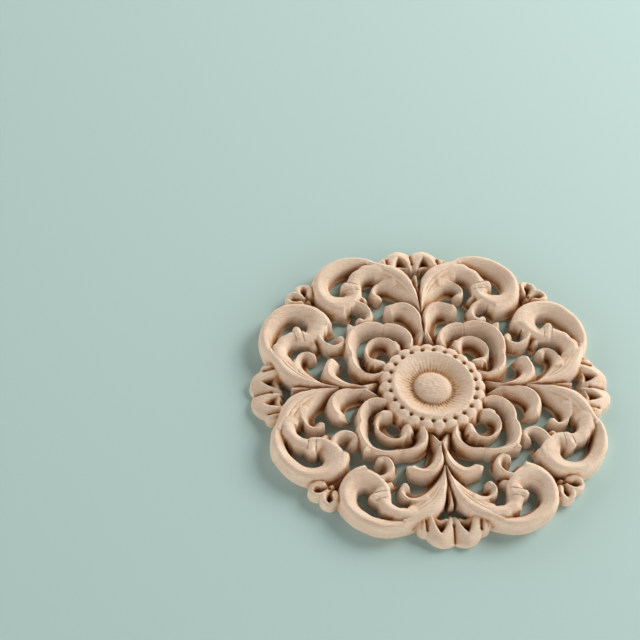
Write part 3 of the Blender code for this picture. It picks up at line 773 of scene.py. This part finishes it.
def paintHollowShade(mesh):
    # How deep each point sits below the wood around it, for the painted shade: a darker, warmer tone in the
    # hollows that stands in for the shade falling there.
    heights, step = heightMap()
    co, out = np.empty(len(mesh.vertices) * 3), np.empty(len(mesh.vertices) * 3)
    mesh.vertices.foreach_get("co", co)
    mesh.vertex_normals.foreach_get("vector", out)
    co, out = co.reshape(-1, 3), out.reshape(-1, 3)
    depth = np.zeros(len(co))
    looks = len(hollowShade["lookAround"]) * hollowShade["directions"]
    for radius in hollowShade["lookAround"]:
        for angle in np.arange(hollowShade["directions"]) * (2 * math.pi / hollowShade["directions"]):
            x = np.abs(co[:, 0] + radius * math.cos(angle))
            y = np.abs(co[:, 1] + radius * math.sin(angle))
            column = np.clip(np.rint(x / step).astype(int), 0, heights.shape[0] - 1)
            row = np.clip(np.rint(y / step).astype(int), 0, heights.shape[1] - 1)
            faced = out[:, 0] * math.cos(angle) + out[:, 1] * math.sin(angle) + np.maximum(out[:, 2], 0)
            rise = np.clip((heights[column, row] - co[:, 2]) / radius, 0, hollowShade["steepest"])
            depth += rise * np.clip(faced, 0, 1) / looks
    pairs = np.empty(len(mesh.edges) * 2, dtype=np.int32)
    mesh.edges.foreach_get("vertices", pairs)
    first, second = pairs.reshape(-1, 2).T
    links = np.bincount(pairs, minlength=len(co))
    for _ in range(hollowShade["softenings"]):
        total = np.bincount(first, depth[second], len(co)) + np.bincount(second, depth[first], len(co))
        depth = (depth + total / links) / 2
    # The flat back shares its outline with the walls but takes none of their painted shade.
    corners = np.empty(len(mesh.loops), dtype=np.int32)
    starts, sizes = (np.empty(len(mesh.polygons), dtype=np.int32) for _ in range(2))
    mesh.loops.foreach_get("vertex_index", corners)
    mesh.polygons.foreach_get("loop_start", starts)
    mesh.polygons.foreach_get("loop_total", sizes)
    onBack = np.repeat(np.maximum.reduceat(co[corners, 2], starts) < 0.01, sizes)
    tone = np.where(onBack, 0, np.clip(depth * hollowShade["gain"] - hollowShade["start"], 0, 1)[corners])
    paintedShade = mesh.attributes.new("paintedShade", "FLOAT", "CORNER")
    paintedShade.data.foreach_set("value", tone)


# A stretch is how many bumps of the noise lie in a metre along, across and down the grain.
# Stops are values of the noise, each with the colour at it.
woodLook = {
    "grainTurn": 0.03,
    "growthStretch": (14, 130, 130),
    "growthStops": ((0.3, (0.53, 0.375, 0.27)), (0.5, (0.60, 0.45, 0.335)), (0.72, (0.66, 0.52, 0.39))),
    "fibreStretch": (160, 2600, 2600),
    "fibreStops": ((0.3, (0.42, 0.30, 0.21)), (0.62, (0.71, 0.57, 0.445))),
    "fibreShare": 0.30,
    "poreStretch": (480, 3600, 3600),
    "poreStops": ((0.60, (0, 0, 0)), (0.70, (1, 1, 1))),
    "patchStretch": (25, 160, 160),  # pores come in patches
    "patchStops": ((0.42, (0.1, 0.1, 0.1)), (0.62, (1, 1, 1))),
    "poreTint": (0.70, 0.58, 0.48, 1),
    # Painted shade: values of the hollow depth attribute, each with the darker, warmer colour multiplied in
    # at it.
    "paintedShadeStops": ((0.03, (1, 1, 1)), (0.3, (0.85, 0.62, 0.39)), (1.0, (0.33, 0.13, 0.03))),
    "roughStops": ((0.3, (0.82, 0.82, 0.82)), (0.7, (0.66, 0.66, 0.66))),
    "shine": 0.25,
    "layerStretch": (60, 60, 2200),  # grain lines on the upright walls
    "layerShare": 0.4,
    "bumpStrength": 0.5,
    "bumpHeight": 0.00012,
}


def colourRamp(tree, value, stops):
    node = addNode(tree, "ShaderNodeValToRGB", {"Fac": value})
    elements = node.color_ramp.elements
    while len(elements) < len(stops):
        elements.new(0.5)
    for element, (position, colour) in zip(elements, stops):
        element.position = position
        element.color = (*colour, 1)
    return node.outputs["Color"]


def mixColours(tree, factor, first, second, blend="MIX"):
    # The sockets are numbered because each name stands for several kinds of value.
    return addNode(
        tree, "ShaderNodeMix", {0: factor, 6: first, 7: second}, data_type="RGBA", blend_type=blend
    ).outputs[2]


def grainNoise(tree, place, stretch, detail, roughness):
    turned = addNode(
        tree, "ShaderNodeMapping",
        {"Vector": place, "Scale": stretch, "Rotation": (0, 0, woodLook["grainTurn"])},
    )
    return addNode(
        tree, "ShaderNodeTexNoise",
        {"Vector": turned.outputs["Vector"], "Scale": 1.0, "Detail": detail, "Roughness": roughness},
    ).outputs["Fac"]


def paleWood():
    material = bpy.data.materials.new("paleWood")
    material.use_nodes = True
    tree = material.node_tree
    shader = tree.nodes["Principled BSDF"]
    place = tree.nodes.new("ShaderNodeTexCoord").outputs["Object"]
    growth = grainNoise(tree, place, woodLook["growthStretch"], 3, 0.55)
    fibres = grainNoise(tree, place, woodLook["fibreStretch"], 4, 0.6)
    poreNoise = grainNoise(tree, place, woodLook["poreStretch"], 2, 0.5)
    patchNoise = grainNoise(tree, place, woodLook["patchStretch"], 2, 0.5)
    layers = grainNoise(tree, place, woodLook["layerStretch"], 2, 0.5)

    tone = colourRamp(tree, growth, woodLook["growthStops"])
    tone = mixColours(tree, woodLook["fibreShare"], tone, colourRamp(tree, fibres, woodLook["fibreStops"]))
    allPores = colourRamp(tree, poreNoise, woodLook["poreStops"])
    patches = colourRamp(tree, patchNoise, woodLook["patchStops"])
    pores = mixColours(tree, 1.0, allPores, patches, "MULTIPLY")
    poreTone = mixColours(tree, 1.0, tone, woodLook["poreTint"], "MULTIPLY")
    tone = mixColours(tree, pores, tone, poreTone)
    # Painted shade: the wood colour is multiplied darker and warmer where the hollow depth attribute is
    # high.
    paintedShade = addNode(tree, "ShaderNodeAttribute", {}, attribute_name="paintedShade").outputs["Fac"]
    tone = mixColours(tree, 1.0, tone, colourRamp(tree, paintedShade, woodLook["paintedShadeStops"]), "MULTIPLY")
    tree.links.new(tone, shader.inputs["Base Color"])
    tree.links.new(colourRamp(tree, fibres, woodLook["roughStops"]), shader.inputs["Roughness"])
    shader.inputs["Specular IOR Level"].default_value = woodLook["shine"]

    relief = mixColours(tree, woodLook["layerShare"], fibres, layers)
    relief = mixColours(tree, pores, relief, (0, 0, 0, 1))
    bump = addNode(
        tree, "ShaderNodeBump",
        {"Height": relief, "Strength": woodLook["bumpStrength"], "Distance": woodLook["bumpHeight"]},
    )
    tree.links.new(bump.outputs["Normal"], shader.inputs["Normal"])
    return material


def fitInBox(mesh):
    # From millimetres to metres, and never past the box of the solid.
    high = np.array(cadBox[1]) - carving["boxMargin"]
    co = np.empty(len(mesh.vertices) * 3)
    mesh.vertices.foreach_get("co", co)
    co = co.reshape(-1, 3) / 1000
    reach = np.abs(co[:, :2]).max()
    co[:, :2] *= min(1, high[0] / reach)
    co[:, 2] = np.clip(co[:, 2], 0, high[2])
    mesh.vertices.foreach_set("co", co.ravel())


def buildRosette():
    sliceMesh = buildSlice()
    sliceObject = bpy.data.objects.new("rosetteSlice", sliceMesh)
    bpy.context.collection.objects.link(sliceObject)
    mesh = repeatRoundCentre(sliceObject, paleWood())
    bpy.data.objects.remove(sliceObject)
    handFinish(mesh)
    # Paints shade into the hollows as a per-corner attribute that darkens the wood colour.
    paintHollowShade(mesh)
    fitInBox(mesh)
    shape = bmesh.new()
    shape.from_mesh(mesh)
    bmesh.ops.remove_doubles(shape, verts=shape.verts, dist=carving["samePoint"])
    bmesh.ops.recalc_face_normals(shape, faces=shape.faces)
    crease = math.radians(carving["creaseAngle"])
    for edge in shape.edges:
        edge.smooth = edge.calc_face_angle(math.pi) < crease
    for face in shape.faces:
        face.smooth = True
    openEdges = sum(not edge.is_manifold for edge in shape.edges)
    shape.to_mesh(mesh)
    shape.free()
    mesh.name = "carvedRosette"
    rosette = bpy.data.objects.new("carvedRosette", mesh)
    bpy.context.collection.objects.link(rosette)
    mesh.calc_loop_triangles()
    print("rosette has", len(mesh.loop_triangles), "triangles and", openEdges, "open edges")
    return rosette


rosette = buildRosette()
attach(rosette, "root")
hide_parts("rosette")
print("rosette carved")

table = {"size": 3.0, "colour": (0.385, 0.515, 0.485, 1), "roughness": 0.6, "shine": 0.2}


def buildTable():
    mesh = bpy.data.meshes.new("tableTop")
    half = table["size"] / 2
    corners = [(-half, -half, 0), (half, -half, 0), (half, half, 0), (-half, half, 0)]
    mesh.from_pydata(corners, [], [(0, 1, 2, 3)])
    top = bpy.data.objects.new("tableTop", mesh)
    bpy.context.collection.objects.link(top)
    material = bpy.data.materials.new("paleTable")
    material.use_nodes = True
    shader = material.node_tree.nodes["Principled BSDF"]
    shader.inputs["Base Color"].default_value = table["colour"]
    shader.inputs["Roughness"].default_value = table["roughness"]
    shader.inputs["Specular IOR Level"].default_value = table["shine"]
    mesh.materials.append(material)
    return top


buildTable()
print("table laid")

studio = {
    "low": (1.0, 1.0, 1.0, 1),  # light from near the horizon
    "lowUntil": 0.36,  # sine of the height angle
    "overhead": (0.01, 0.01, 0.01, 1),
    "overheadFrom": 0.60,
    "skyStrength": 2.75,
    "lampColour": (1.0, 0.985, 0.95),
    "lampPower": 20.5,
    "lampSize": 0.65,
    "lampPlace": (1.0, 0.67, 0.72),
}


def lightStudio():
    world = bpy.data.worlds.new("softSky")
    world.use_nodes = True
    nodes, links = world.node_tree.nodes, world.node_tree.links
    sky = nodes["Background"]
    sky.inputs["Strength"].default_value = studio["skyStrength"]
    direction = nodes.new("ShaderNodeTexCoord")
    parts = nodes.new("ShaderNodeSeparateXYZ")
    shade = nodes.new("ShaderNodeValToRGB")
    below, above = shade.color_ramp.elements
    below.position, below.color = studio["lowUntil"], studio["low"]
    above.position, above.color = studio["overheadFrom"], studio["overhead"]
    links.new(direction.outputs["Generated"], parts.inputs["Vector"])
    links.new(parts.outputs["Z"], shade.inputs["Fac"])
    links.new(shade.outputs["Color"], sky.inputs["Color"])
    bpy.context.scene.world = world
    lamp = bpy.data.lights.new("softLamp", "AREA")
    lamp.energy = studio["lampPower"]
    lamp.size = studio["lampSize"]
    lamp.color = studio["lampColour"]
    holder = bpy.data.objects.new("softLamp", lamp)
    holder.location = studio["lampPlace"]
    holder.rotation_euler = (-holder.location).to_track_quat("-Z", "Y").to_euler()
    bpy.context.collection.objects.link(holder)


lightStudio()

camera = {
    "unit": 0.03886,  # length of the pattern that the camera was fitted in
    "azimuth": -13.71,
    "elevation": 51.26,
    "roll": -9.98,
    "across": 1.193,
    "down": 0.699,
    "away": 26.08,
    "imageScale": 94.73,  # pixels per unit at the middle of the rosette
    "imageWidth": 640,
    "sensorWidth": 36,
    "clipStart": 0.05,
    "aimHeight": 0.0065,
}


def placeCamera():
    azimuth, elevation, roll = (math.radians(camera[key]) for key in ("azimuth", "elevation", "roll"))
    level = math.cos(elevation)
    toCamera = Vector((math.sin(azimuth) * level, -math.cos(azimuth) * level, math.sin(elevation)))
    across = Vector((math.cos(azimuth), math.sin(azimuth), 0))
    steep = (-toCamera).cross(across)
    right = math.cos(roll) * across + math.sin(roll) * steep
    down = -math.sin(roll) * across + math.cos(roll) * steep
    spot = -camera["across"] * right - camera["down"] * down + camera["away"] * toCamera
    spot = spot * camera["unit"] + Vector((0, 0, camera["aimHeight"]))
    lens = bpy.data.cameras.new("camera")
    lens.sensor_width = camera["sensorWidth"]
    lens.lens = camera["imageScale"] * camera["away"] / camera["imageWidth"] * camera["sensorWidth"]
    lens.clip_start = camera["clipStart"]
    holder = bpy.data.objects.new("camera", lens)
    turn = Matrix((right, -down, toCamera)).transposed().to_4x4()
    holder.matrix_world = Matrix.Translation(spot) @ turn
    bpy.context.collection.objects.link(holder)
    bpy.context.scene.camera = holder


placeCamera()
bpy.context.scene.view_settings.view_transform = "Standard"
print("camera and lights placed")
